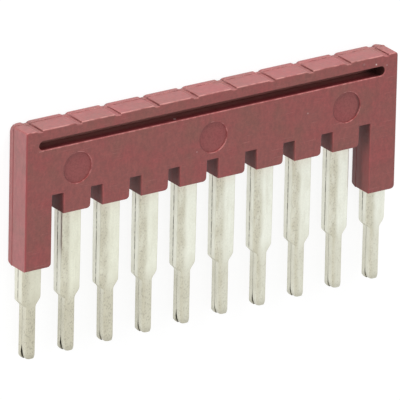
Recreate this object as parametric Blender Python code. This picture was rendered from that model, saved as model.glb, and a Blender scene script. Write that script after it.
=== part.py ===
"""A ten pole jumper bar for rail terminal blocks.

One moulded housing grips two stamped combs that lie back to back. Each pole is a leaf of the
front comb and a leaf of the back comb, and the pair plugs into the jumper channel of a terminal.
The bar lies on its back face. X runs along the row, +Y to the housing's top face, +Z out of its
front face. Depths are measured down from the top face, towards the pin tips.
"""

import math

import bmesh
import bpy

MM = 0.001

# The row
POLES = 10
PITCH = 5.2 * MM

# Pins: two leaves of one sheet thickness, wide down to a shoulder and slim below it. The die left
# the left shoulder shorter than the right one, and the tip's left corner rounder than its right one
LEAF_THICKNESS = 0.85 * MM
LEAF_GAP = 0.08 * MM
TIP_GAP = 0.02 * MM  # between the slim sections, where the pair has closed up
PIN_WIDTH = 2.6 * MM
TIP_SECTION_WIDTH = 1.34 * MM
PIN_EDGE_RADIUS = 0.22 * MM
TIP_SECTION_RADIUS = 0.3 * MM
INNER_EDGE_RADIUS = 0.07 * MM
TIP_INNER_RADIUS = 0.03 * MM
PIN_REACH = 11.1 * MM  # from a tooth's bottom to where the slim section starts
LEFT_SHOULDER = 0.95 * MM
RIGHT_SHOULDER = 1.2 * MM
TIP_SECTION_LENGTH = 6.4 * MM
LEFT_CORNER_WIDTH = 0.6 * MM  # rounded corners of the tip, seen from the front
LEFT_CORNER_HEIGHT = 0.42 * MM
RIGHT_CORNER_WIDTH = 0.45 * MM
RIGHT_CORNER_HEIGHT = 0.45 * MM
FRONT_NOSE = 0.05 * MM  # the ends slant back to stop this far short on the outer faces
BACK_NOSE = 0.4 * MM
INNER_NOSE = 1.6 * MM  # the facing sides start to part this far above the end
NOSE_OPENING = 0.22 * MM  # what each facing side falls back by the end
CLOSING_START = 0.2 * MM  # below the end legs, where the leaves of a pair start to close up

# Rails that join the leaves inside the housing
RAIL_HEIGHT = 3.95 * MM

# Housing walls
MOULD_GAP = 0.05 * MM  # clearance between metal and plastic
FRONT_WALL = 1.01 * MM
BACK_WALL = 0.71 * MM
END_WALL = 0.36 * MM
TOOTH_WALL = 0.49 * MM
WALL_OVER_RAIL = 0.95 * MM
WALL_UNDER_RAIL = 0.65 * MM
TOOTH_LENGTH = 2.5 * MM  # below the roof of the notches
END_LEG_LENGTH = 8.6 * MM  # below the roof of the notches
TOOTH_TAPER = 0.06 * MM  # each side, at the tooth's bottom

# Housing edges: the two mould halves meet near the back. The back half stands a little proud, and
# its corners along the top are softer than those of the front half
BACK_HALF = 0.95 * MM
PARTING_STEP = 0.04 * MM
SOFT_FADE = 0.3 * MM  # the soft corners turn crisp over this much in front of the rounded back edge
BACK_EDGE_RADIUS = 0.35 * MM
FRONT_EDGE_RADIUS = 0.1 * MM
BOTTOM_LEAD_IN = 0.4 * MM  # how far bottom edges rise towards the back face
BOTTOM_CORNER_RADIUS = 0.42 * MM
TOP_CORNER_RADIUS = 0.28 * MM
SOFT_TOP_CORNER_RADIUS = 0.8 * MM

# Long slot below the front top edge
SLOT_LIP = 1.33 * MM
SLOT_HEIGHT = 1.1 * MM
SLOT_DEPTH = 2.0 * MM
SLOT_END_WALL = 1.75 * MM
SLOT_MOUTH_BEVEL = 0.07 * MM

# One shallow groove across the top face over each pole: a ramp, a floor and a steep right wall
GROOVE_DEPTH = 0.2 * MM
GROOVE_RAMP = 0.35 * MM
GROOVE_FLOOR = 0.5 * MM
GROOVE_WALL = 0.14 * MM
SOFT_GROOVE_WALL = 0.4 * MM
GROOVE_SHIFT = 0.2 * MM  # to the right of the pole's centre

# Three round ejector marks on the front face
MARK_DIAMETER = 3.75 * MM
MARK_DEPTH = 0.14 * MM
MARK_POLES = (1, (POLES - 1) / 2, POLES - 2)

# Facets and cutters
ARC_STEPS = 3
EDGE_STEPS = 3
SLOT_END_STEPS = 10
MARK_STEPS = 40
CUTTER_REACH = 1.0 * MM
EDGE_SNAP = 0.0001 * MM  # corners this near a new edge line count as on it

# Sizes that follow
TOOTH_WIDTH = PIN_WIDTH + 2 * (MOULD_GAP + TOOTH_WALL)
END_MARGIN = PIN_WIDTH / 2 + MOULD_GAP + END_WALL
BAR_LENGTH = (POLES - 1) * PITCH + 2 * END_MARGIN
PIN_THICKNESS = 2 * LEAF_THICKNESS + LEAF_GAP
MID_PLANE = BACK_WALL + MOULD_GAP + PIN_THICKNESS / 2  # between the two combs
BAR_THICKNESS = MID_PLANE + PIN_THICKNESS / 2 + MOULD_GAP + FRONT_WALL

RAIL_TOP_DEPTH = SLOT_LIP + SLOT_HEIGHT + WALL_OVER_RAIL + MOULD_GAP
RAIL_BOTTOM_DEPTH = RAIL_TOP_DEPTH + RAIL_HEIGHT
NOTCH_ROOF_DEPTH = RAIL_BOTTOM_DEPTH + MOULD_GAP + WALL_UNDER_RAIL
TOOTH_DEPTH = NOTCH_ROOF_DEPTH + TOOTH_LENGTH
END_LEG_DEPTH = NOTCH_ROOF_DEPTH + END_LEG_LENGTH
TIP_SECTION_DEPTH = TOOTH_DEPTH + PIN_REACH
TIP_DEPTH = TIP_SECTION_DEPTH + TIP_SECTION_LENGTH
TOP_Y = (TIP_DEPTH - PARTING_STEP) / 2  # puts the bar's middle on the origin


def y_at(depth):
    """The Y of a point this far below the housing's top face."""
    return TOP_Y - depth


def pole_x(pole):
    """The X of a pole's centre, which may lie between two poles."""
    return (pole - (POLES - 1) / 2) * PITCH


def clear_scene():
    for found in list(bpy.data.objects):
        bpy.data.objects.remove(found, do_unlink=True)


def make_material(name, colour, roughness, metallic):
    material = bpy.data.materials.new(name)
    material.use_nodes = True
    shader = material.node_tree.nodes["Principled BSDF"]
    shader.inputs["Base Color"].default_value = (*colour, 1.0)
    shader.inputs["Roughness"].default_value = roughness
    shader.inputs["Metallic"].default_value = metallic
    material.diffuse_color = (*colour, 1.0)
    return material


def arc(centre_x, centre_y, radius, start, end, steps):
    """Points of an arc between two angles in degrees, both ends included."""
    for step in range(steps + 1):
        angle = math.radians(start + (end - start) * step / steps)
        yield (centre_x + radius * math.cos(angle), centre_y + radius * math.sin(angle))


def loft(name, layers):
    """A closed mesh object through (z, outline) layers, whose outlines have equal point counts."""
    body = bmesh.new()
    rings = [[body.verts.new((x, y, z)) for x, y in outline] for z, outline in layers]
    for lower, upper in zip(rings, rings[1:]):
        count = len(lower)
        for here in range(count):
            after = (here + 1) % count
            body.faces.new((lower[here], lower[after], upper[after], upper[here]))
    body.faces.new(list(reversed(rings[0])))
    body.faces.new(rings[-1])
    bmesh.ops.recalc_face_normals(body, faces=body.faces)
    mesh = bpy.data.meshes.new(name)
    body.to_mesh(mesh)
    body.free()
    made = bpy.data.objects.new(name, mesh)
    bpy.context.scene.collection.objects.link(made)
    return made


def finish(piece, material):
    """Gives a piece its material and smooth rounded edges between sharp flat faces."""
    piece.data.materials.append(material)
    piece.data.shade_smooth()
    piece.data.set_sharp_from_angle(angle=math.radians(35))


def cut(piece, cutter):
    """Takes a cutter's shape out of a piece, and keeps the cutter out of the render."""
    cutter.hide_render = True
    cutter.display_type = "WIRE"
    modifier = piece.modifiers.new(cutter.name, "BOOLEAN")
    modifier.operation = "DIFFERENCE"
    modifier.solver = "EXACT"
    modifier.object = cutter


def tooth_outline(pole, grow, rise):
    """One tooth or end leg from the left notch roof round its bottom to the right notch roof."""
    first, last = pole == 0, pole == POLES - 1
    is_leg = first or last
    centre = pole_x(pole)
    taper = 0 if is_leg else TOOTH_TAPER
    left = -BAR_LENGTH / 2 if first else centre - TOOTH_WIDTH / 2
    right = BAR_LENGTH / 2 if last else centre + TOOTH_WIDTH / 2
    roof = y_at(NOTCH_ROOF_DEPTH) - grow
    bottom = y_at(END_LEG_DEPTH if is_leg else TOOTH_DEPTH) - grow + rise
    radius = BOTTOM_CORNER_RADIUS
    if not first:
        yield (left - grow, roof)
    yield (left + taper - grow, bottom)
    corner_x = right - taper + grow - radius
    yield from arc(corner_x, bottom + radius, radius, -90, 0, ARC_STEPS)
    if not last:
        yield (right + grow, roof)


def top_outline(grow, soft):
    """The top edge from the right end to the left, with its grooves.

    Soft runs from 0, the crisp corners of the front mould half, to 1, those of the back half.
    """
    end = BAR_LENGTH / 2 + grow
    top = y_at(0) + grow
    radius = TOP_CORNER_RADIUS + (SOFT_TOP_CORNER_RADIUS - TOP_CORNER_RADIUS) * soft
    wall = GROOVE_WALL + (SOFT_GROOVE_WALL - GROOVE_WALL) * soft
    yield from arc(end - radius, top - radius, radius, 0, 90, ARC_STEPS)
    for pole in reversed(range(POLES)):
        floor_right = pole_x(pole) + GROOVE_SHIFT + GROOVE_FLOOR / 2
        for step in reversed(range(ARC_STEPS + 1)):
            angle = math.radians(90 * step / ARC_STEPS)
            height = GROOVE_DEPTH * (1 - math.sin(angle))
            yield (floor_right + wall * (1 - math.cos(angle)), top - height)
        yield (floor_right - GROOVE_FLOOR, top - GROOVE_DEPTH)
        yield (floor_right - GROOVE_FLOOR - GROOVE_RAMP, top)
    yield from arc(radius - end, top - radius, radius, 90, 180, ARC_STEPS)


def housing_outline(grow, rise, soft):
    """The housing from the front, every side moved out by grow and every bottom up by rise."""
    points = []
    for pole in range(POLES):
        points += tooth_outline(pole, grow, rise)
    points += top_outline(grow, soft)
    return points


def housing_layers():
    """Outlines from the rounded back edge, past the parting line, to the front edge."""
    for step in range(EDGE_STEPS + 1):
        angle = math.radians(90 * step / EDGE_STEPS)
        z = BACK_EDGE_RADIUS * (1 - math.cos(angle))
        grow = PARTING_STEP - BACK_EDGE_RADIUS * (1 - math.sin(angle))
        rise = BOTTOM_LEAD_IN * (1 - z / BACK_HALF)
        soft = min((BACK_HALF - z) / SOFT_FADE, 1)
        yield z, housing_outline(grow, rise, soft)
    yield BACK_HALF, housing_outline(PARTING_STEP, 0, 0)
    yield BACK_HALF, housing_outline(0, 0, 0)
    for angle in (0, 45, 90):
        away = math.radians(angle)
        z = BAR_THICKNESS - FRONT_EDGE_RADIUS * (1 - math.sin(away))
        yield z, housing_outline(FRONT_EDGE_RADIUS * (math.cos(away) - 1), 0, 0)


def leaf_side(half, slim, shoulder, corner_width, corner_height, tip):
    """Half a leaf's outline: (distance from its middle line, Y) from above the shoulder to the tip."""
    for step in range(ARC_STEPS + 2):
        share = step / (ARC_STEPS + 1)
        ease = share * share * (3 - 2 * share)
        yield half + (slim - half) * ease, y_at(TIP_SECTION_DEPTH - shoulder * (1 - share))
    inward = corner_width * slim / (TIP_SECTION_WIDTH / 2)
    for step in range(ARC_STEPS + 1):
        angle = math.radians(90 * step / ARC_STEPS)
        yield slim - inward * (1 - math.cos(angle)), tip + corner_height * (1 - math.sin(angle))


def comb_outline(inset, slim_inset, rise):
    """A comb from the front: the rail's top, then each leaf with its shoulders and its tip.

    The upper leaf moves in by inset, the slim section by slim_inset, and the tip up by rise.
    """
    half = PIN_WIDTH / 2 - inset
    slim = TIP_SECTION_WIDTH / 2 - slim_inset
    tip = y_at(TIP_DEPTH) + rise
    left = list(leaf_side(half, slim, LEFT_SHOULDER, LEFT_CORNER_WIDTH, LEFT_CORNER_HEIGHT, tip))
    right = list(leaf_side(half, slim, RIGHT_SHOULDER, RIGHT_CORNER_WIDTH, RIGHT_CORNER_HEIGHT, tip))
    root = y_at(RAIL_BOTTOM_DEPTH) + inset
    rail_top = y_at(RAIL_TOP_DEPTH) - inset
    points = [(pole_x(0) - half, rail_top)]
    for pole in range(POLES):
        centre = pole_x(pole)
        if pole > 0:
            points.append((centre - half, root))
        points += [(centre - x, y) for x, y in left]
        points += [(centre + x, y) for x, y in reversed(right)]
        if pole < POLES - 1:
            points.append((centre + half, root))
    points.append((pole_x(POLES - 1) + half, rail_top))
    return points


def comb_layers(outer_nose):
    """(height above the leaf's facing side, outline) out to the leaf's outer face."""
    yield 0, comb_outline(INNER_EDGE_RADIUS, TIP_INNER_RADIUS, INNER_NOSE)
    opened = INNER_EDGE_RADIUS / NOSE_OPENING
    yield INNER_EDGE_RADIUS, comb_outline(0, 0, INNER_NOSE * (1 - opened))
    yield NOSE_OPENING, comb_outline(0, 0, 0)
    for step in range(EDGE_STEPS + 1):
        angle = math.radians(90 * step / EDGE_STEPS)
        inset = PIN_EDGE_RADIUS * (1 - math.cos(angle))
        slim_inset = TIP_SECTION_RADIUS * (1 - math.cos(angle))
        z = LEAF_THICKNESS - TIP_SECTION_RADIUS * (1 - math.sin(angle))
        slant = (z - NOSE_OPENING) / (LEAF_THICKNESS - NOSE_OPENING)
        yield z, comb_outline(inset, slim_inset, outer_nose * slant)


def pocket_outline(grow):
    """The space for the rail and the upper leaves, open below every tooth."""
    half = PIN_WIDTH / 2 + grow
    below = y_at(END_LEG_DEPTH + CUTTER_REACH)
    roof = y_at(RAIL_BOTTOM_DEPTH) - grow
    top = y_at(RAIL_TOP_DEPTH) + grow
    points = [(pole_x(0) - half, top)]
    for pole in range(POLES):
        centre = pole_x(pole)
        if pole > 0:
            points.append((centre - half, roof))
        points += [(centre - half, below), (centre + half, below)]
        if pole < POLES - 1:
            points.append((centre + half, roof))
    points.append((pole_x(POLES - 1) + half, top))
    return points


def pocket_layers():
    """The pocket's rounded long edges follow the leaves' edges, one mould gap away."""
    radius = PIN_EDGE_RADIUS + MOULD_GAP
    reach = PIN_THICKNESS / 2 - PIN_EDGE_RADIUS
    for side, steps in ((-1, reversed(range(EDGE_STEPS + 1))), (1, range(EDGE_STEPS + 1))):
        for step in steps:
            angle = math.radians(90 * step / EDGE_STEPS)
            z = MID_PLANE + side * (reach + radius * math.sin(angle))
            yield z, pocket_outline(radius * math.cos(angle) - PIN_EDGE_RADIUS)


def slot_outline(grow):
    radius = SLOT_HEIGHT / 2 + grow
    middle = y_at(SLOT_LIP + SLOT_HEIGHT / 2)
    centre = BAR_LENGTH / 2 - SLOT_END_WALL - SLOT_HEIGHT / 2
    right = list(arc(centre, middle, radius, -90, 90, SLOT_END_STEPS))
    left = list(arc(-centre, middle, radius, 90, 270, SLOT_END_STEPS))
    return right + left


def slot_layers():
    yield BAR_THICKNESS - SLOT_DEPTH, slot_outline(0)
    yield BAR_THICKNESS - SLOT_MOUTH_BEVEL, slot_outline(0)
    yield BAR_THICKNESS, slot_outline(SLOT_MOUTH_BEVEL)
    yield BAR_THICKNESS + CUTTER_REACH, slot_outline(SLOT_MOUTH_BEVEL)


def mark_layers(pole):
    middle = y_at(RAIL_TOP_DEPTH + RAIL_HEIGHT / 2)
    turn = list(arc(pole_x(pole), middle, MARK_DIAMETER / 2, 0, 360, MARK_STEPS))[:-1]
    yield BAR_THICKNESS - MARK_DEPTH, turn
    yield BAR_THICKNESS + CUTTER_REACH, turn


def make_housing(material):
    housing = loft("housing", housing_layers())
    cut(housing, loft("comb_pocket", pocket_layers()))
    cut(housing, loft("front_slot", slot_layers()))
    for number, pole in enumerate(MARK_POLES, start=1):
        cut(housing, loft(f"ejector_mark_{number}", mark_layers(pole)))
    finish(housing, material)
    return housing


def close_up(comb, side):
    """Leans the leaves' free ends towards the other comb, down to the start of the slim sections."""
    start = y_at(END_LEG_DEPTH + CLOSING_START)
    end = y_at(TIP_SECTION_DEPTH)
    body = bmesh.new()
    body.from_mesh(comb.data)
    for y in (start, end):
        everything = [*body.verts, *body.edges, *body.faces]
        bmesh.ops.bisect_plane(body, geom=everything, dist=EDGE_SNAP, plane_co=(0, y, 0), plane_no=(0, 1, 0))
    for corner in body.verts:
        share = min(max((start - corner.co.y) / (start - end), 0), 1)
        corner.co.z -= side * (LEAF_GAP - TIP_GAP) / 2 * share
    body.to_mesh(comb.data)
    body.free()


def make_comb(name, side, outer_nose, material):
    """One stamped comb: side is 1 for the front comb and -1 for the back one."""
    facing = MID_PLANE + side * LEAF_GAP / 2
    comb = loft(name, [(facing + side * z, outline) for z, outline in comb_layers(outer_nose)])
    close_up(comb, side)
    finish(comb, material)
    return comb


def main():
    clear_scene()
    moulding = make_material("maroon_moulding", (0.27, 0.105, 0.10), 0.5, 0.0)
    plating = make_material("tin_plating", (0.80, 0.79, 0.73), 0.35, 1.0)
    make_housing(moulding)
    make_comb("front_comb", 1, FRONT_NOSE, plating)
    make_comb("back_comb", -1, BACK_NOSE, plating)


main()
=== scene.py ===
"""The looks of a ten pole jumper bar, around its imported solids.

The bar lies on its back face: X runs along the row, +Y to the housing's top face and +Z out of the
front face. The camera looks down on it at the photograph's viewing angle, so that the bar stands
upright in the picture.
"""

import math

import bpy
from mathutils import Matrix, Vector


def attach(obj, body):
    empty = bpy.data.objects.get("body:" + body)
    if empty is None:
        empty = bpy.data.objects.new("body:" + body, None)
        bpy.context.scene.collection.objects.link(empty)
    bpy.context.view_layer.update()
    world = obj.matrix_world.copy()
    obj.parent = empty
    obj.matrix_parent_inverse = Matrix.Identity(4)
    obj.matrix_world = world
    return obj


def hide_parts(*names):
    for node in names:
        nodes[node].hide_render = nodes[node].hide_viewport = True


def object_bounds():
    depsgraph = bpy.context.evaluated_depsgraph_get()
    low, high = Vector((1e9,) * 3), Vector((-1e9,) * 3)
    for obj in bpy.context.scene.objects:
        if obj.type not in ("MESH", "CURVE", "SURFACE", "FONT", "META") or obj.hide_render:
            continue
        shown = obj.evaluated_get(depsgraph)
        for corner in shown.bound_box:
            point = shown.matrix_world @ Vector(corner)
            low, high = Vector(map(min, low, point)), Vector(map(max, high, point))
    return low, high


MM = 0.001

# Camera, as fitted to the photograph: angles in degrees round the bar as it stands in the
# picture, distance and aim in metres, sensor and lens in millimetres
VIEW_AZIMUTH = 34.01
VIEW_ELEVATION = 21.8
PICTURE_ROLL = 1.25
CAMERA_DISTANCE = 1100.2 * MM
AIM_X = -0.34 * MM
AIM_Y = 0.40 * MM
AIM_Z = 1.65 * MM
SENSOR_WIDTH = 36.0
LENS = 875.0
CLIP_SHARE = 10  # it sees from a tenth of its distance to ten times that

# Light: a white room, a soft lamp over the top face and another beside the left end, in metres
ROOM_LIGHT = 0.80
LAMP_DISTANCE = 0.6
LAMP_SIZE = 0.30
TOP_LAMP = ((0.30, 0.95, 0.05), 6.5)  # direction and power
LEFT_LAMP = ((-0.97, 0.20, 0.03), 5.2)

EDGE_BEVEL = 0.05  # millimetres
BEVEL_SEGMENTS = 2
SHARP_ANGLE = 40  # degrees
EDGE_MASK_SAMPLES = 6

WHITE = (1, 1, 1, 1)
FLOOR_SIZE = 3.0
FLOOR_GAP = 0.02 * MM
FLOOR_COLOUR = 0.20
FLOOR_GLOW = 0.84

# The bar's own places and sizes, in millimetres
PITCH = 5.2
POLES = 10
MID_HEIGHT = 1.65
FRONT_HEIGHT = 3.6
BACK_HALF = 0.95
TOP_Y = 14.02
TOOTH_Y = 3.44
SLOT_LOW, SLOT_HIGH = 11.59, 12.69
SLOT_END_X = 23.36
END_X = 25.11
MARK_Y = 8.615
MARK_RADIUS = 1.875
MARK_REACH = 18.2  # the outer two marks, either side of the middle one

# The combs, in millimetres
RAIL_TOP, RAIL_BOTTOM = 10.59, 6.64
LEAF = 0.85
PIN_HALF = 1.30
SLIM_HALF = 0.67
CLOSING_Y = -2.86
SLIM_Y = -7.66
TIP_Y = -14.06
LEFT_SHOULDER = 0.95
RIGHT_SHOULDER = 1.20
FRONT_CORNERS = ((0.52, 1.25), (0.40, 0.70))  # left and right, each its width and height
BACK_CORNERS = ((0.34, 0.50), (0.42, 0.75))
FRONT_NOSE = 0.08  # the ends slant back over this much on the outer faces
BACK_NOSE = 0.30
END_THICKNESS = 0.25  # what the slant leaves of a leaf at its very end

# Where a leaf is measured on its way down
ROOT_OVERLAP = 0.2  # how far it runs up into the rail
WIDE_STEP = 0.4
WIDE_STEPS = 25
SHOULDER_STEPS = 12
SLIM_PLACES = (-8.6, -9.8, -11.0, -12.0)
TIP_STEPS = 18
END_CUT = 0.001  # the last ring is this far above the tip

# Rounded edges of a leaf, each kept under a share of its width or of its thickness
ARC_STEPS = 5
OUTER_EDGE = 0.22
OUTER_EDGE_GAIN = 0.08  # the slim end is this much rounder
INNER_EDGE = 0.04
OUTER_EDGE_SHARES = (0.45, 0.6)
INNER_EDGE_SHARES = (0.2, 0.2)

# The gap of a pair: half of it, what each leaf closes on its way down, and how uneven it is
LEAF_LIFT = 0.04
OUTER_CLOSING = 0.03
HALF_GAP = 0.03
GAP_CLOSING = 0.02
GAP_UNEVENNESS = 0.7
GAP_WAVES = ((1.9, 2.3), (0.7, 1.1))  # radians a millimetre down the leaf, and radians a pole

# The spindle-shaped opening between two tips, the notch at its end, and the sideways bend
WEDGE_LENGTH = 1.9
SPINDLE_SPREAD = 1.2
SPINDLE_WAIST = 0.5
SPINDLE_CLOSING = 0.7
NOTCH_DEPTH = 0.12
NOTCH_HEIGHT = 0.25
BEND_START = 2.0  # above the slim end
BEND_CURVE = 1.5

# Each pin's own small faults: how far its tip has sprung open, how far it has bent sideways, and
# how much shorter it is
WEDGES = (0.40, 0.36, 0.06, 0.18, 0.30, 0.05, 0.20, 0.10, 0.06, 0.10)
SWAYS = (-0.03, -0.02, 0.05, 0.02, 0.0, 0.03, -0.01, 0.02, 0.03, -0.02)
SHORTER = (0.06, 0.0, 0.02, 0.0, 0.0, 0.05, 0.02, 0.0, 0.02, 0.06)

# Specks of dust, five on the front and one on the slot's lower wall: place, radius and strength
DUST_SPECKS = (
    ((22.13, 13.07, FRONT_HEIGHT), 0.09, 0.9),
    ((23.61, 12.73, FRONT_HEIGHT), 0.06, 0.5),
    ((20.45, 13.40, FRONT_HEIGHT), 0.14, 0.12),
    ((12.84, 8.96, FRONT_HEIGHT), 0.10, 0.25),
    ((-2.21, 7.28, FRONT_HEIGHT), 0.06, 0.5),
    ((-4.91, SLOT_LOW, 2.95), 0.15, 1.0),
)

# Colours, linear
MAROON = (0.225, 0.062, 0.056)
MAROON_RED = (0.270, 0.048, 0.052)
MAROON_BROWN = (0.175, 0.066, 0.050)
# scuffs and rubbed edges, and painted highlights on edges, marks and the slot's lower edge
SCUFF_AND_HIGHLIGHT_PINK = (0.600, 0.290, 0.270)
EDGE_RED = (0.330, 0.050, 0.058)
DUST_GREY = (0.620, 0.520, 0.500)
MAROON_DEEP = (0.100, 0.022, 0.022)
# pink of the painted sheen on the end faces, the top face and the walls between the teeth
SHEEN_PINK = (0.400, 0.240, 0.250)
# painted shade and painted red bounce light inside the slot; the first is also the marks' painted
# shadow arcs
SHADE_DARK = (0.030, 0.010, 0.008)
SLOT_SHADE_BROWN = (0.330, 0.140, 0.125)
SLOT_BOUNCE_RED = (0.150, 0.012, 0.018)
TIN_FACE = (0.850, 0.865, 0.770)
TIN_CREAM = (0.815, 0.820, 0.685)
TIN_EDGE = (0.830, 0.830, 0.730)
TIN_TAN = (0.610, 0.585, 0.465)
# painted reflection of the maroon housing on the tin
HOUSING_REFLECTION_PINK = (0.800, 0.700, 0.600)
TIN_GREY = (0.310, 0.290, 0.230)
# real stains, seam dirt and specks, and painted shade on the inner faces of the leaves
STAIN_AND_SHADE_DARK = (0.090, 0.080, 0.060)

# How strongly each tint of the moulding shows, from 0 to 1
RED_PATCHES = 0.45
BROWN_PATCHES = 0.50
# the next two: a painted sheen on the end faces and on the top face
END_SHEEN = 0.26
TOP_SHEEN = 0.17
BACK_HALF_REDNESS = 0.10
# painted shade in the parting step
PARTING_DARKNESS = 0.25
SCRATCH_STRENGTH = 0.22
# painted shade on the steep walls of the grooves
GROOVE_WALL_DARKNESS = 0.25
# the next two: painted bounce light by the slot's lip and painted shade at its right end
SLOT_LIP_BOUNCE = 0.85
SLOT_END_SHADE = 0.95
MARK_REDNESS = 0.45
STIPPLE_DARKNESS = 0.28

# And each tint of the tin plating
STREAK_TAN = 0.12
STAIN_TAN = 0.16
FIRST_PIN_TAN = 0.45
# painted reflection of the housing at the roots
ROOT_REFLECTION = 0.30
TIP_GREYNESS = 0.35
GRUBBY_GREYNESS = 0.55
SEAM_DARKNESS = 0.7
SPECK_DARKNESS = 0.5

# Patterns of the moulding: grain size in millimetres, detail, the noise at which the mask starts
# and is full, and a shift of the whole pattern
RED_TONE = ((4.5, 3.0, 3.0), 4.0, 0.40, 0.66, (0.0, 0.0, 0.0))
BROWN_TONE = ((3.0, 4.5, 3.0), 5.0, 0.46, 0.70, (7.3, 1.1, 4.2))
MOTTLE_TONE = ((0.45, 1.1, 0.45), 3.0, 0.35, 0.65, (4.0, 2.0, 6.0))
SPECKLE_TONE = ((0.24, 0.24, 0.24), 2.0, 0.3, 0.7, (2.0, 5.0, 9.4))
SCRATCH_TONE = ((2.6, 0.07, 0.07), 1.0, 0.70, 0.80, (1.0, 3.0, 2.0))
PATCHY_TONE = ((1.2, 1.2, 1.2), 4.0, 0.35, 0.6, (5.0, 0.0, 3.0))

# Patterns of the tin, each comb with a shift of its own
STREAK_TONE = ((0.45, 5.0, 0.45), 3.0, 0.42, 0.68)
STAIN_TONE = ((0.7, 2.2, 0.7), 5.0, 0.42, 0.66)
SPECK_TONE = ((0.16, 0.22, 0.16), 1.0, 0.76, 0.82)
FINE_TONE = ((0.17, 0.26, 0.17), 2.0, 0.3, 0.7)
DIRT_TONE = ((0.4, 0.55, 0.4), 4.0, 0.40, 0.56)
FRONT_SHIFT = (3.0, 8.0, 1.0)
BACK_SHIFT = (6.0, 2.0, 5.0)

# A noise over this range makes a colour darker and lighter by these shades
NOISE_RANGE = (0.3, 0.7)
MOTTLE_SHADES = (0.93, 1.07)
SPECKLE_SHADES = (0.90, 1.10)
TIN_SHADES = (0.97, 1.03)

# Surfaces: roughness over the same range, and the strength and height of the bumps
MOULDING_ROUGHNESS = (0.46, 0.60)
MOULDING_BUMP = (0.35, 0.02)
TIN_METALLIC = 0.80
TIN_ROUGHNESS = (0.38, 0.52)
TIN_BUMP = (0.3, 0.01)
LOW_END_ROUGHNESS = 0.10

# Fades on the moulding: from this place in millimetres, direction or noise to that one, and
# where two more numbers are given, from this strength to that one
FACING_FADE = (0.6, 0.9)
BACK_HALF_FADE = (BACK_HALF + 0.02, BACK_HALF - 0.02)
NOTCH_LIGHT_FADE = (2.1, 0.6, 0.0, 0.45)
NOTCH_SHADE_FADE = (1.4, 2.8, 0.0, 0.55)
GROOVE_WALL_FADE = (0.55, 0.75)
GROOVE_TOP_FADE = (TOP_Y - 0.30, TOP_Y - 0.22)
RED_EDGE_FADE = (TOP_Y - 1.4, TOP_Y - 2.0, 0.0, 0.55)
PALE_EDGE_FADE = (TOP_Y - 1.0, TOP_Y - 0.3, 0.10, 0.6)
FRONT_EDGE_FADE = (FRONT_HEIGHT - 0.16, FRONT_HEIGHT - 0.06)
FRONT_EDGE_TOP_FADE = (TOP_Y - 0.16, TOP_Y - 0.06)
FRONT_EDGE_NOISE = (0.35, 0.60, 0.0, 0.4)
SLOT_MOUTH_FADE = (FRONT_HEIGHT - 0.02, FRONT_HEIGHT - 0.12)
SLOT_LIP_FADE = (FRONT_HEIGHT - 1.5, FRONT_HEIGHT - 0.7)
SLOT_END_FADE = (SLOT_END_X - 2.5, SLOT_END_X - 0.3)
SLOT_BROWN_FADE = (-20.0, 10.0, 0.95, 0.60)
SLOT_EDGE_FADE = (FRONT_HEIGHT - 0.12, FRONT_HEIGHT - 0.05)
SLOT_EDGE_NOISE = (0.40, 0.60, 0.05, 0.35)
MARK_FLOOR_FADE = (FRONT_HEIGHT - 0.5, FRONT_HEIGHT - 0.4)
DISC_FADE = (MARK_RADIUS, MARK_RADIUS - 0.06)
STIPPLE_NOISE = (0.47, 0.57)
RING_NOISE = (0.42, 0.58, 0.0, 0.32)
RING_FADE = (-1.4, -0.2)
ARC_FADE = (-0.2, -1.1, 0.0, 0.8)
ARC_LOW_FADE = (-1.6, -0.4, 0.2, 1.0)
CRESCENT_FADE = (MARK_RADIUS - 0.45, MARK_RADIUS - 0.15)
CRESCENT_SIDE_FADE = (0.9, 1.6, 0.0, 0.7)
LEFT_CORNER_FADE = (0.30 - END_X, 0.14 - END_X)
LEFT_CORNER_FACING_FADE = (0.3, 0.6, 0.0, 0.8)

# Bands on the moulding: from this place to that one, and how soft their edges are
PARTING_BAND = (BACK_HALF - 0.02, BACK_HALF + 0.10, 0.05)
SLOT_BAND = (SLOT_LOW - 0.04, SLOT_HIGH + 0.04, 0.02)
SLOT_EDGE_BAND = (SLOT_LOW - 0.12, SLOT_LOW - 0.02, 0.03)
RING_BAND = (MARK_RADIUS - 0.02, MARK_RADIUS + 0.07, 0.02)
ARC_BAND = (MARK_RADIUS - 0.10, MARK_RADIUS + 0.02, 0.04)

# Other limits on the moulding
END_FACE_X = END_X - 0.6
TOP_FACE_Y = TOP_Y - 0.4
SLOT_REACH_X = SLOT_END_X + 0.05
DUST_SOFTNESS = 0.03
EDGE_MASK_WIDTH = 0.11
EDGE_MASK_START, EDGE_MASK_FULL = 0.12, 0.45

# Fades on the tin, in the same way
PUNCHED_FADE = (0.70, 0.95)
BRIGHT_FADE = (-20.0, 8.0)
STRIP_FADE = (0.10, -0.65)
STRIP_NOISE = (0.35, 0.6, 0.55, 0.90)
LOW_END_FADE = (SLIM_Y + 2.5, SLIM_Y - 1.5)
FLAT_FADE = (0.0, 1.0, 1.0, 0.75)
WORN_FADE = (-24.0, 12.0, 0.95, 0.45)
FIRST_PIN_FADE = (-20.0, -21.0)
ROOT_FADE = (TOOTH_Y - 2.0, TOOTH_Y)
TIP_FADE = (TIP_Y + 1.2, TIP_Y + 0.1)
GRUBBY_NOISE = (0.50, 0.66)
INWARD_FADE = (0.7, 0.95)
CUT_LINE = (TIP_Y + 1.3, -SLIM_HALF, TIP_Y + 0.2, -0.28)  # Y and X, twice
CUT_FADE = (-0.22, -0.08)
SEAM_FADE = (0.09, 0.04)
SEAM_LOW_FADE = (SLIM_Y, SLIM_Y + 1.0)


def add_node(tree, kind, **values):
    node = tree.nodes.new(kind)
    for name, value in values.items():
        setattr(node, name, value)
    return node


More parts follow.
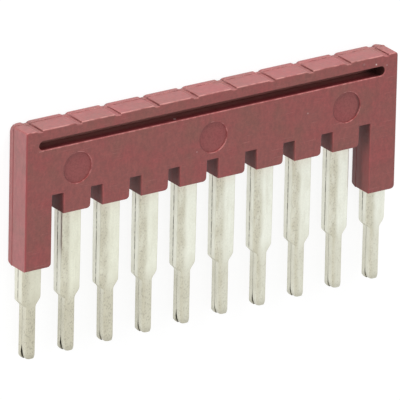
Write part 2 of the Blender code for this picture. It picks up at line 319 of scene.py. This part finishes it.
def feed(tree, socket, value):
    """Sets a socket to a number or colour, or links another socket to it."""
    if isinstance(value, tuple):
        socket.default_value = (*value, 1.0) if len(socket.default_value) == 4 else value
    elif isinstance(value, (int, float)):
        socket.default_value = value
    else:
        tree.links.new(value, socket)


def math_node(tree, operation, first, second=None):
    node = add_node(tree, "ShaderNodeMath", operation=operation)
    feed(tree, node.inputs[0], first)
    if second is not None:
        feed(tree, node.inputs[1], second)
    return node.outputs[0]


def times(tree, first, second):
    return math_node(tree, "MULTIPLY", first, second)


def minus(tree, first, second):
    return math_node(tree, "SUBTRACT", first, second)


def opposite(tree, mask):
    """1 where the mask is 0, and 0 where it is 1."""
    return minus(tree, 1.0, mask)


def larger(tree, first, second):
    return math_node(tree, "MAXIMUM", first, second)


def unsigned(tree, value):
    return math_node(tree, "ABSOLUTE", value)


def mix_colours(tree, factor, first, second, blend="MIX"):
    node = add_node(tree, "ShaderNodeMix", data_type="RGBA", blend_type=blend)
    feed(tree, node.inputs[0], factor)
    feed(tree, node.inputs[6], first)
    feed(tree, node.inputs[7], second)
    return node.outputs[2]


def tint(tree, colour, other, mask, strength):
    """A colour with another laid over it where a mask shows, by this strength at most."""
    return mix_colours(tree, times(tree, mask, strength), colour, other)


def ramp(tree, value, low, high, bottom=0.0, top=1.0, kind="SMOOTHSTEP"):
    """Bottom at low and top at high, smooth between."""
    node = add_node(tree, "ShaderNodeMapRange", interpolation_type=kind, clamp=True)
    feed(tree, node.inputs["Value"], value)
    feed(tree, node.inputs["From Min"], low)
    feed(tree, node.inputs["From Max"], high)
    feed(tree, node.inputs["To Min"], bottom)
    feed(tree, node.inputs["To Max"], top)
    return node.outputs["Result"]


def ramp_line(tree, value, low, bottom, high, top):
    """A straight line through (low, bottom) and (high, top), level outside them."""
    return ramp(tree, value, low, high, bottom, top, kind="LINEAR")


def new_group(name, inputs, outputs):
    """An empty node group: inputs {title: (kind, default)}, outputs {title: kind}."""
    group = bpy.data.node_groups.new(name, "ShaderNodeTree")
    for title, (kind, default) in inputs.items():
        socket = group.interface.new_socket(title, in_out="INPUT", socket_type="NodeSocket" + kind)
        socket.default_value = default
    for title, kind in outputs.items():
        group.interface.new_socket(title, in_out="OUTPUT", socket_type="NodeSocket" + kind)
    entry = group.nodes.new("NodeGroupInput")
    leave = group.nodes.new("NodeGroupOutput")
    return group, entry.outputs, leave.inputs


def place_group(tree, group, **values):
    """A group in a material; each value goes to the input whose title matches its name."""
    node = add_node(tree, "ShaderNodeGroup")
    node.node_tree = group
    for title, value in values.items():
        feed(tree, node.inputs[title.replace("_", " ")], value)
    return node.outputs


def new_material(name):
    """An empty material, with its tree and its shader."""
    material = bpy.data.materials.new(name)
    material.use_nodes = True
    tree = material.node_tree
    return material, tree, tree.nodes["Principled BSDF"]


def make_cloud_group():
    """Soft noise over the object's own coordinates, with a grain size for each axis."""
    group, given, out = new_group(
        "uneven_tone",
        {"Grain size": ("Vector", (1.0, 1.0, 1.0)), "Shift": ("Vector", (0.0, 0.0, 0.0)),
         "Detail": ("Float", 3.0), "Start": ("Float", 0.4), "Full": ("Float", 0.6)},
        {"Mask": "Float", "Noise": "Float"},
    )
    place = add_node(group, "ShaderNodeTexCoord")
    in_mm = add_node(group, "ShaderNodeVectorMath", operation="SCALE")
    feed(group, in_mm.inputs[0], place.outputs["Object"])
    in_mm.inputs["Scale"].default_value = 1 / MM
    grains = add_node(group, "ShaderNodeVectorMath", operation="DIVIDE")
    feed(group, grains.inputs[0], in_mm.outputs[0])
    feed(group, grains.inputs[1], given["Grain size"])
    moved = add_node(group, "ShaderNodeVectorMath", operation="ADD")
    feed(group, moved.inputs[0], grains.outputs[0])
    feed(group, moved.inputs[1], given["Shift"])
    cloud = add_node(group, "ShaderNodeTexNoise")
    feed(group, cloud.inputs["Vector"], moved.outputs[0])
    cloud.inputs["Scale"].default_value = 1.0
    feed(group, cloud.inputs["Detail"], given["Detail"])
    feed(group, out["Mask"], ramp(group, cloud.outputs["Fac"], given["Start"], given["Full"]))
    feed(group, out["Noise"], cloud.outputs["Fac"])
    return group


def make_edge_group():
    """1 along outside and inside edges, from how far a rounded normal leaves the real one."""
    group, given, out = new_group(
        "edge_wear_and_highlight", {"Width": ("Float", 0.1), "Start": ("Float", 0.1), "Full": ("Float", 0.4)},
        {"Mask": "Float"},
    )
    rounded = add_node(group, "ShaderNodeBevel", samples=EDGE_MASK_SAMPLES)
    feed(group, rounded.inputs["Radius"], times(group, given["Width"], MM))
    real = add_node(group, "ShaderNodeNewGeometry")
    apart = add_node(group, "ShaderNodeVectorMath", operation="DISTANCE")
    feed(group, apart.inputs[0], rounded.outputs["Normal"])
    feed(group, apart.inputs[1], real.outputs["Normal"])
    feed(group, out["Mask"], ramp(group, apart.outputs["Value"], given["Start"], given["Full"]))
    return group


def make_camera():
    azimuth = math.radians(VIEW_AZIMUTH)
    elevation = math.radians(VIEW_ELEVATION)
    back = Vector((
        -math.sin(azimuth) * math.cos(elevation),
        math.sin(elevation),
        math.cos(azimuth) * math.cos(elevation),
    ))
    right = Vector((math.cos(azimuth), 0, math.sin(azimuth)))
    up = back.cross(right)
    turn = Matrix((right, up, back)).transposed().to_4x4()
    roll = Matrix.Rotation(math.radians(PICTURE_ROLL), 4, "Z")
    aim = Vector((AIM_X, AIM_Y, AIM_Z))
    data = bpy.data.cameras.new("camera")
    data.sensor_width = SENSOR_WIDTH
    data.lens = LENS
    data.clip_start = CAMERA_DISTANCE / CLIP_SHARE
    data.clip_end = CAMERA_DISTANCE * CLIP_SHARE
    camera = bpy.data.objects.new("camera", data)
    bpy.context.scene.collection.objects.link(camera)
    camera.matrix_world = Matrix.Translation(aim + back * CAMERA_DISTANCE) @ turn @ roll
    bpy.context.scene.camera = camera


def seen_directly(tree):
    """1 for rays from the camera and from mirror-like or clear surfaces, else 0."""
    path = add_node(tree, "ShaderNodeLightPath")
    direct = larger(tree, path.outputs["Is Camera Ray"], path.outputs["Is Glossy Ray"])
    return larger(tree, direct, path.outputs["Is Transmission Ray"])


def make_floor(height):
    half = FLOOR_SIZE / 2
    mesh = bpy.data.meshes.new("floor")
    sides = ((-half, -half), (half, -half), (half, half), (-half, half))
    mesh.from_pydata([(x, y, height) for x, y in sides], [], [(0, 1, 2, 3)])
    floor = bpy.data.objects.new("floor", mesh)
    bpy.context.scene.collection.objects.link(floor)
    material, tree, shader = new_material("white_floor")
    shader.inputs["Base Color"].default_value = (FLOOR_COLOUR, FLOOR_COLOUR, FLOOR_COLOUR, 1)
    shader.inputs["Roughness"].default_value = 1.0
    shader.inputs["Specular IOR Level"].default_value = 0.0
    shader.inputs["Emission Color"].default_value = WHITE
    glow = times(tree, seen_directly(tree), FLOOR_GLOW)
    feed(tree, shader.inputs["Emission Strength"], glow)
    mesh.materials.append(material)


def make_room():
    world = bpy.data.worlds.new("white_room")
    world.use_nodes = True
    tree = world.node_tree
    background = tree.nodes["Background"]
    background.inputs["Color"].default_value = WHITE
    lift = times(tree, seen_directly(tree), 1 - ROOM_LIGHT)
    feed(tree, background.inputs["Strength"], math_node(tree, "ADD", lift, ROOM_LIGHT))
    bpy.context.scene.world = world


def make_lamp(name, direction, power):
    data = bpy.data.lights.new(name, "AREA")
    data.shape = "DISK"
    data.size = LAMP_SIZE
    data.energy = power
    lamp = bpy.data.objects.new(name, data)
    bpy.context.scene.collection.objects.link(lamp)
    away = Vector(direction).normalized()
    lamp.location = away * LAMP_DISTANCE
    lamp.rotation_mode = "QUATERNION"
    lamp.rotation_quaternion = away.to_track_quat("Z", "Y")
    lamp.visible_glossy = False


def own_place(tree):
    """The object's own coordinates in millimetres, one socket for each axis."""
    place = add_node(tree, "ShaderNodeTexCoord")
    split = add_node(tree, "ShaderNodeSeparateXYZ")
    feed(tree, split.inputs[0], place.outputs["Object"])
    return [math_node(tree, "DIVIDE", split.outputs[axis], MM) for axis in range(3)]


def outward(tree):
    """The direction that the surface faces, one socket for each axis."""
    facing = add_node(tree, "ShaderNodeNewGeometry")
    axes = add_node(tree, "ShaderNodeSeparateXYZ")
    feed(tree, axes.inputs[0], facing.outputs["Normal"])
    return axes.outputs


def place_tone(tree, cloud, size, detail, start, full, shift):
    """An uneven tone in a material: its Mask and its Noise."""
    return place_group(tree, cloud, Grain_size=size, Shift=shift, Detail=detail, Start=start,
                       Full=full)


def shaded(tree, colour, noise, shades):
    """A colour made darker and lighter by a noise."""
    shade = ramp(tree, noise, *NOISE_RANGE, *shades)
    return mix_colours(tree, 1.0, colour, shade, blend="MULTIPLY")


def roughen(tree, shader, height, strength, depth):
    """Small bumps on a surface, this many millimetres high where the height is 1."""
    bump = add_node(tree, "ShaderNodeBump")
    bump.inputs["Strength"].default_value = strength
    bump.inputs["Distance"].default_value = depth * MM
    feed(tree, bump.inputs["Height"], height)
    feed(tree, shader.inputs["Normal"], bump.outputs["Normal"])


def leaf_width(y, shoulder, corner, tip):
    """How far a leaf reaches to one side of its middle line at this Y."""
    above = (y - SLIM_Y) / shoulder
    if above > 0:
        share = min(above, 1)
        return SLIM_HALF + (PIN_HALF - SLIM_HALF) * share * share * (3 - 2 * share)
    wide, high = corner
    below = 1 - min((y - tip) / high, 1)
    return SLIM_HALF - wide * (1 - math.sqrt(max(1 - below * below, 0)))


def edge_ring(left, right, facing, outer, radius, small):
    """(x, height) points round a leaf: radius rounds its outer edges, and small the others."""
    wide, thick = right - left, outer - facing
    radius = min(radius, wide * OUTER_EDGE_SHARES[0], thick * OUTER_EDGE_SHARES[1])
    small = min(small, wide * INNER_EDGE_SHARES[0], thick * INNER_EDGE_SHARES[1])
    corners = (
        (left + small, facing + small, small, 270, 180),
        (left + radius, outer - radius, radius, 180, 90),
        (right - radius, outer - radius, radius, 90, 0),
        (right - small, facing + small, small, 0, -90),
    )
    for x, height, size, start, end in corners:
        for step in range(ARC_STEPS + 1):
            angle = math.radians(start + (end - start) * step / ARC_STEPS)
            yield (x + size * math.cos(angle), height + size * math.sin(angle))


def leaf_rings(pole, corners, nose):
    """(y, ring) down one leaf, heights measured from the plane between the combs."""
    tip = TIP_Y + SHORTER[pole]
    middle = (pole - (POLES - 1) / 2) * PITCH
    places = [RAIL_BOTTOM + ROOT_OVERLAP]
    places += [TOOTH_Y - WIDE_STEP * step for step in range(WIDE_STEPS)]
    for step in range(SHOULDER_STEPS + 1):
        places.append(SLIM_Y + RIGHT_SHOULDER * (1 - step / SHOULDER_STEPS))
    places += SLIM_PLACES
    for step in range(TIP_STEPS):
        places.append(tip + WEDGE_LENGTH * math.cos(math.radians(90 * step / TIP_STEPS)))
    places.append(tip + END_CUT)
    for y in places:
        share = min(max((CLOSING_Y - y) / (CLOSING_Y - SLIM_Y), 0), 1)
        open_share = max(1 - (y - tip) / WEDGE_LENGTH, 0)
        past_waist = max(open_share - SPINDLE_WAIST, 0) / (1 - SPINDLE_WAIST)
        spindle = open_share ** SPINDLE_SPREAD * (1 - past_waist) ** SPINDLE_CLOSING
        notch = NOTCH_DEPTH * max(1 - (y - tip) / NOTCH_HEIGHT, 0)
        uneven = math.prod(math.sin(down * y + over * pole) for down, over in GAP_WAVES)
        half_gap = (HALF_GAP - GAP_CLOSING * share) * (1 + GAP_UNEVENNESS * uneven)
        facing = half_gap + WEDGES[pole] * spindle + notch
        outer = LEAF + LEAF_LIFT - OUTER_CLOSING * share
        end_share = max(1 - (y - tip) / nose, 0)
        outer -= (outer - facing - END_THICKNESS) * end_share
        bend_y = SLIM_Y + BEND_START
        bend = SWAYS[pole] * max((bend_y - y) / (bend_y - tip), 0) ** BEND_CURVE
        left = middle + bend - leaf_width(y, LEFT_SHOULDER, corners[0], tip)
        right = middle + bend + leaf_width(y, RIGHT_SHOULDER, corners[1], tip)
        radius = OUTER_EDGE + OUTER_EDGE_GAIN * share
        yield y, list(edge_ring(left, right, facing, outer, radius, INNER_EDGE))


def join_rings(corners, faces, rings, side):
    """Adds a closed loft through the rings to the lists of a mesh."""
    first = len(corners)
    count = len(rings[0][1])
    for y, ring in rings:
        corners += [(x * MM, y * MM, (MID_HEIGHT + side * height) * MM) for x, height in ring]
    for level in range(len(rings) - 1):
        low = first + level * count
        for here in range(count):
            after = (here + 1) % count
            face = (low + here, low + after, low + count + after, low + count + here)
            faces.append(face if side > 0 else face[::-1])
    start = tuple(range(first, first + count))
    end = tuple(range(len(corners) - count, len(corners)))
    faces.append(start[::-1] if side > 0 else start)
    faces.append(end if side > 0 else end[::-1])


def make_comb(name, node, side, tip_corners, nose, material):
    """A comb's ten leaves and the rail that joins them, with each leaf's own small faults."""
    corners, faces = [], []
    rail_end = (POLES - 1) / 2 * PITCH + PIN_HALF
    top = LEAF + LEAF_LIFT
    rail = list(edge_ring(-rail_end, rail_end, LEAF_LIFT, top, OUTER_EDGE, INNER_EDGE))
    join_rings(corners, faces, [(RAIL_TOP, rail), (RAIL_BOTTOM, rail)], side)
    for pole in range(POLES):
        join_rings(corners, faces, list(leaf_rings(pole, tip_corners, nose)), side)
    mesh = bpy.data.meshes.new(name)
    mesh.from_pydata(corners, [], faces)
    mesh.shade_smooth()
    mesh.set_sharp_from_angle(angle=math.radians(SHARP_ANGLE))
    mesh.materials.append(material)
    comb = bpy.data.objects.new(name, mesh)
    bpy.context.scene.collection.objects.link(comb)
    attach(comb, "root")
    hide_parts(node)


def soften_edges(piece):
    """A hair-thin bevel along the moulding's sharp edges, so that they catch the light."""
    bevel = piece.modifiers.new("soft_edges", "BEVEL")
    bevel.width = EDGE_BEVEL * MM
    bevel.segments = BEVEL_SEGMENTS
    bevel.limit_method = "ANGLE"
    bevel.angle_limit = math.radians(SHARP_ANGLE)
    bevel.harden_normals = True


def band(tree, value, low, high, soft):
    """1 between low and high, and 0 outside, soft over a short way at both ends."""
    rising = ramp(tree, value, low - soft, low + soft)
    falling = ramp(tree, value, high + soft, high - soft)
    return times(tree, rising, falling)


def distance(tree, along, up):
    """How far a place is from a point, from its two offsets."""
    squares = math_node(tree, "ADD", times(tree, along, along), times(tree, up, up))
    return math_node(tree, "SQRT", squares)


def make_moulding(cloud, edges):
    """Maroon moulded plastic: uneven tones, matt grain, dust, rubbed edges, marks, and painted
    sheen, highlights and shade on its faces, edges, slot and marks.
    """
    material, tree, shader = new_material("maroon_moulding")
    red = place_tone(tree, cloud, *RED_TONE)
    brown = place_tone(tree, cloud, *BROWN_TONE)
    mottle = place_tone(tree, cloud, *MOTTLE_TONE)
    speckle = place_tone(tree, cloud, *SPECKLE_TONE)
    scratch = place_tone(tree, cloud, *SCRATCH_TONE)
    patchy = place_tone(tree, cloud, *PATCHY_TONE)
    x, y, height = own_place(tree)
    axes = outward(tree)
    sideways = ramp(tree, unsigned(tree, axes["X"]), *FACING_FADE)
    upwards = ramp(tree, axes["Y"], *FACING_FADE)

    # Tones of the whole moulding, a painted sheen on its ends and top, the parting line with
    # painted shade in its step
    colour = tint(tree, MAROON, MAROON_RED, red["Mask"], RED_PATCHES)
    colour = tint(tree, colour, MAROON_BROWN, brown["Mask"], BROWN_PATCHES)
    outside = math_node(tree, "GREATER_THAN", unsigned(tree, x), END_FACE_X)
    end_face = times(tree, sideways, outside)
    top_face = times(tree, upwards, math_node(tree, "GREATER_THAN", y, TOP_FACE_Y))
    sheen = larger(tree, times(tree, end_face, END_SHEEN), times(tree, top_face, TOP_SHEEN))
    colour = mix_colours(tree, sheen, colour, SHEEN_PINK)
    back_half = times(tree, ramp(tree, height, *BACK_HALF_FADE), end_face)
    colour = tint(tree, colour, MAROON_RED, back_half, BACK_HALF_REDNESS)
    # painted shade in the corner of the parting step on the side faces
    parting = times(tree, band(tree, height, *PARTING_BAND), sideways)
    colour = tint(tree, colour, MAROON_DEEP, parting, PARTING_DARKNESS)
    colour = shaded(tree, colour, mottle["Noise"], MOTTLE_SHADES)
    colour = shaded(tree, colour, speckle["Noise"], SPECKLE_SHADES)
    colour = tint(tree, colour, SCUFF_AND_HIGHLIGHT_PINK, scratch["Mask"], SCRATCH_STRENGTH)

    # Walls between the teeth: a painted greyish light towards the back and painted shade towards
    # the front; painted shade on the steep walls of the grooves
    between = times(tree, sideways, opposite(tree, outside))
    painted_back_light = times(tree, between, ramp(tree, height, *NOTCH_LIGHT_FADE))
    colour = mix_colours(tree, painted_back_light, colour, SHEEN_PINK)
    painted_front_shade = times(tree, between, ramp(tree, height, *NOTCH_SHADE_FADE))
    colour = mix_colours(tree, painted_front_shade, colour, MAROON_DEEP)
    steep = ramp(tree, unsigned(tree, axes["X"]), *GROOVE_WALL_FADE)
    groove_shade = times(tree, steep, ramp(tree, y, *GROOVE_TOP_FADE))
    groove_shade = times(tree, groove_shade, opposite(tree, outside))
    colour = tint(tree, colour, MAROON_DEEP, groove_shade, GROOVE_WALL_DARKNESS)

    # Edges: rubbed and red low down; pale and patchy near the top, both wear and a painted
    # highlight; a painted highlight along the front top edge
    edge_mask = place_group(tree, edges, Width=EDGE_MASK_WIDTH, Start=EDGE_MASK_START, Full=EDGE_MASK_FULL)
    below = times(tree, edge_mask["Mask"], ramp(tree, y, *RED_EDGE_FADE))
    colour = mix_colours(tree, below, colour, EDGE_RED)
    rub_and_highlight = times(tree, edge_mask["Mask"], patchy["Mask"])
    rub_and_highlight = times(tree, rub_and_highlight, ramp(tree, y, *PALE_EDGE_FADE))
    colour = mix_colours(tree, rub_and_highlight, colour, SCUFF_AND_HIGHLIGHT_PINK)
    front_edge_highlight = times(tree, ramp(tree, height, *FRONT_EDGE_FADE),
                       ramp(tree, y, *FRONT_EDGE_TOP_FADE))
    front_edge_highlight = times(tree, front_edge_highlight, ramp(tree, patchy["Noise"], *FRONT_EDGE_NOISE))
    colour = mix_colours(tree, front_edge_highlight, colour, SCUFF_AND_HIGHLIGHT_PINK)

    # The slot: painted shade, brown inside and darkest at its right end, and painted red bounce
    # light by its lip
    within = math_node(tree, "LESS_THAN", unsigned(tree, x), SLOT_REACH_X)
    deep = ramp(tree, height, *SLOT_MOUTH_FADE)
    slot = times(tree, band(tree, y, *SLOT_BAND), within)
    slot = times(tree, slot, deep)
    lip = times(tree, slot, ramp(tree, height, *SLOT_LIP_FADE))
    slot_end = times(tree, slot, ramp(tree, x, *SLOT_END_FADE))
    paler = ramp(tree, x, *SLOT_BROWN_FADE)
    colour = mix_colours(tree, times(tree, slot, paler), colour, SLOT_SHADE_BROWN)
    colour = tint(tree, colour, SLOT_BOUNCE_RED, lip, SLOT_LIP_BOUNCE)
    colour = tint(tree, colour, SHADE_DARK, slot_end, SLOT_END_SHADE)
    for (speck_x, speck_y, speck_height), radius, strength in DUST_SPECKS:
        beside = distance(tree, minus(tree, x, speck_x), minus(tree, y, speck_y))
        away = distance(tree, beside, minus(tree, height, speck_height))
        dust = ramp(tree, away, radius + DUST_SOFTNESS, radius - DUST_SOFTNESS, 0.0, strength)
        colour = mix_colours(tree, dust, colour, DUST_GREY)

    # The round marks: redder and stippled; a broken ring, a burr brightened on its right by a
    # painted highlight; a painted shadow arc on the left; a painted shade crescent on the last
    nearest = math_node(tree, "ROUND", math_node(tree, "DIVIDE", x, MARK_REACH))
    from_mark = minus(tree, x, times(tree, nearest, MARK_REACH))
    up_mark = minus(tree, y, MARK_Y)
    reach = distance(tree, from_mark, up_mark)
    front = ramp(tree, height, *MARK_FLOOR_FADE)
    disc = times(tree, ramp(tree, reach, *DISC_FADE), front)
    colour = tint(tree, colour, MAROON_RED, disc, MARK_REDNESS)
    stipple = times(tree, ramp(tree, speckle["Noise"], *STIPPLE_NOISE), disc)
    colour = tint(tree, colour, MAROON_DEEP, stipple, STIPPLE_DARKNESS)
    ring = times(tree, band(tree, reach, *RING_BAND), front)
    ring = times(tree, ring, ramp(tree, mottle["Noise"], *RING_NOISE))
    ring = times(tree, ring, ramp(tree, from_mark, *RING_FADE))
    colour = mix_colours(tree, ring, colour, SCUFF_AND_HIGHLIGHT_PINK)
    shadow_arc = times(tree, band(tree, reach, *ARC_BAND), front)
    shadow_arc = times(tree, shadow_arc, ramp(tree, from_mark, *ARC_FADE))
    shadow_arc = times(tree, shadow_arc, ramp(tree, up_mark, *ARC_LOW_FADE))
    colour = mix_colours(tree, shadow_arc, colour, SHADE_DARK)
    shade_crescent = times(tree, disc, math_node(tree, "GREATER_THAN", x, MARK_REACH))
    shade_crescent = times(tree, shade_crescent, ramp(tree, reach, *CRESCENT_FADE))
    shade_crescent = times(tree, shade_crescent, ramp(tree, from_mark, *CRESCENT_SIDE_FADE))
    colour = mix_colours(tree, shade_crescent, colour, MAROON_DEEP)

    # A painted highlight on the edge below the slot, and the red front corner of the left end
    slot_edge_highlight = times(tree, band(tree, y, *SLOT_EDGE_BAND), within)
    slot_edge_highlight = times(tree, slot_edge_highlight, ramp(tree, height, *SLOT_EDGE_FADE))
    slot_edge_highlight = times(tree, slot_edge_highlight, ramp(tree, mottle["Noise"], *SLOT_EDGE_NOISE))
    colour = mix_colours(tree, slot_edge_highlight, colour, SCUFF_AND_HIGHLIGHT_PINK)
    corner = times(tree, ramp(tree, x, *LEFT_CORNER_FADE), front)
    corner = times(tree, corner, ramp(tree, axes["Z"], *LEFT_CORNER_FACING_FADE))
    colour = mix_colours(tree, corner, colour, MAROON_RED)
    feed(tree, shader.inputs["Base Color"], colour)

    rough = ramp(tree, speckle["Noise"], *NOISE_RANGE, *MOULDING_ROUGHNESS)
    feed(tree, shader.inputs["Roughness"], rough)
    roughen(tree, shader, speckle["Noise"], *MOULDING_BUMP)
    return material


def make_tin(name, cloud, side, shift):
    """Tin plating: pale flats, a tan strip by each pin's left edge, duller ends, dark specks."""
    material, tree, shader = new_material(name)
    shader.inputs["Metallic"].default_value = TIN_METALLIC
    x, y, height = own_place(tree)
    axes = outward(tree)
    punched = ramp(tree, unsigned(tree, axes["X"]), *PUNCHED_FADE)
    shifted = math_node(tree, "ADD", x, POLES / 2 * PITCH)
    across = minus(tree, math_node(tree, "FLOORED_MODULO", shifted, PITCH), PITCH / 2)
    streak = place_tone(tree, cloud, *STREAK_TONE, shift)
    stain = place_tone(tree, cloud, *STAIN_TONE, (*shift[1:], shift[0]))
    speck = place_tone(tree, cloud, *SPECK_TONE, shift)
    fine = place_tone(tree, cloud, *FINE_TONE, shift)
    dirt = place_tone(tree, cloud, *DIRT_TONE, shift)

    # Flats, brighter to the right, with a tan strip on the left of each pin, streaks and stains
    face = mix_colours(tree, ramp(tree, x, *BRIGHT_FADE), TIN_CREAM, TIN_FACE)
    colour = mix_colours(tree, punched, face, TIN_EDGE)
    strip = ramp(tree, across, *STRIP_FADE)
    strip = times(tree, strip, ramp(tree, stain["Noise"], *STRIP_NOISE))
    strip = times(tree, strip, opposite(tree, punched))
    colour = mix_colours(tree, strip, colour, TIN_TAN)
    colour = tint(tree, colour, TIN_TAN, streak["Mask"], STREAK_TAN)
    colour = tint(tree, colour, TIN_TAN, stain["Mask"], STAIN_TAN)

    # Worn low ends, a duller first pin, a painted pink reflection of the housing at the roots,
    # grey tips, grubby grain
    low_end = ramp(tree, y, *LOW_END_FADE)
    flat = ramp(tree, punched, *FLAT_FADE)
    worn = times(tree, low_end, ramp(tree, x, *WORN_FADE))
    worn = times(tree, worn, flat)
    colour = mix_colours(tree, worn, colour, TIN_TAN)
    first_pin = times(tree, ramp(tree, x, *FIRST_PIN_FADE), flat)
    colour = tint(tree, colour, TIN_TAN, first_pin, FIRST_PIN_TAN)
    colour = tint(tree, colour, HOUSING_REFLECTION_PINK, ramp(tree, y, *ROOT_FADE), ROOT_REFLECTION)
    colour = tint(tree, colour, TIN_GREY, ramp(tree, y, *TIP_FADE), TIP_GREYNESS)
    colour = shaded(tree, colour, fine["Noise"], TIN_SHADES)
    grubby = times(tree, ramp(tree, fine["Noise"], *GRUBBY_NOISE), larger(tree, worn, strip))
    colour = tint(tree, colour, TIN_GREY, grubby, GRUBBY_GREYNESS)

    # Inner faces: painted shade to the right of a line that slants across the tip, where the
    # leaves shade each other
    inward = ramp(tree, times(tree, axes["Z"], -side), *INWARD_FADE)
    cut_line = ramp_line(tree, y, *CUT_LINE)
    covered = ramp(tree, minus(tree, across, cut_line), *CUT_FADE)
    colour = mix_colours(tree, times(tree, inward, covered), colour, STAIN_AND_SHADE_DARK)

    # Dirt along the gap of a pair, and dark specks
    from_seam = unsigned(tree, minus(tree, height, MID_HEIGHT))
    seam = times(tree, ramp(tree, from_seam, *SEAM_FADE), dirt["Mask"])
    seam = times(tree, seam, ramp(tree, y, *SEAM_LOW_FADE))
    marks = larger(tree, times(tree, seam, SEAM_DARKNESS),
                   times(tree, speck["Mask"], SPECK_DARKNESS))
    colour = mix_colours(tree, marks, colour, STAIN_AND_SHADE_DARK)
    feed(tree, shader.inputs["Base Color"], colour)

    duller = times(tree, minus(tree, low_end, punched), LOW_END_ROUGHNESS)
    rough = ramp(tree, stain["Noise"], *NOISE_RANGE, *TIN_ROUGHNESS)
    feed(tree, shader.inputs["Roughness"], math_node(tree, "ADD", duller, rough))
    roughen(tree, shader, minus(tree, fine["Noise"], marks), *TIN_BUMP)
    return material


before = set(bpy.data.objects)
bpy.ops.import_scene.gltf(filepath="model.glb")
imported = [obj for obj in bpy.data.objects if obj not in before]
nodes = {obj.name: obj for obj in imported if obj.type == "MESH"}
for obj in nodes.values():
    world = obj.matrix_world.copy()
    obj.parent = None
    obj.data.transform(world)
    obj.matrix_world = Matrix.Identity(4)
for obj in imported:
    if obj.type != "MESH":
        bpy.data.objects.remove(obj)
cad_low, cad_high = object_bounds()

make_camera()
make_floor(cad_low.z - FLOOR_GAP)
make_room()
make_lamp("top_lamp", *TOP_LAMP)
make_lamp("left_lamp", *LEFT_LAMP)

uneven_tone = make_cloud_group()
edge_wear_and_highlight = make_edge_group()
housing = nodes["housing"]
housing.data.materials.clear()
housing.data.materials.append(make_moulding(uneven_tone, edge_wear_and_highlight))
soften_edges(housing)
tin_front = make_tin("tin_front", uneven_tone, 1, FRONT_SHIFT)
tin_back = make_tin("tin_back", uneven_tone, -1, BACK_SHIFT)
make_comb("front_leaves", "front_comb", 1, FRONT_CORNERS, FRONT_NOSE, tin_front)
make_comb("back_leaves", "back_comb", -1, BACK_CORNERS, BACK_NOSE, tin_back)

bpy.context.scene.view_settings.view_transform = "Standard"
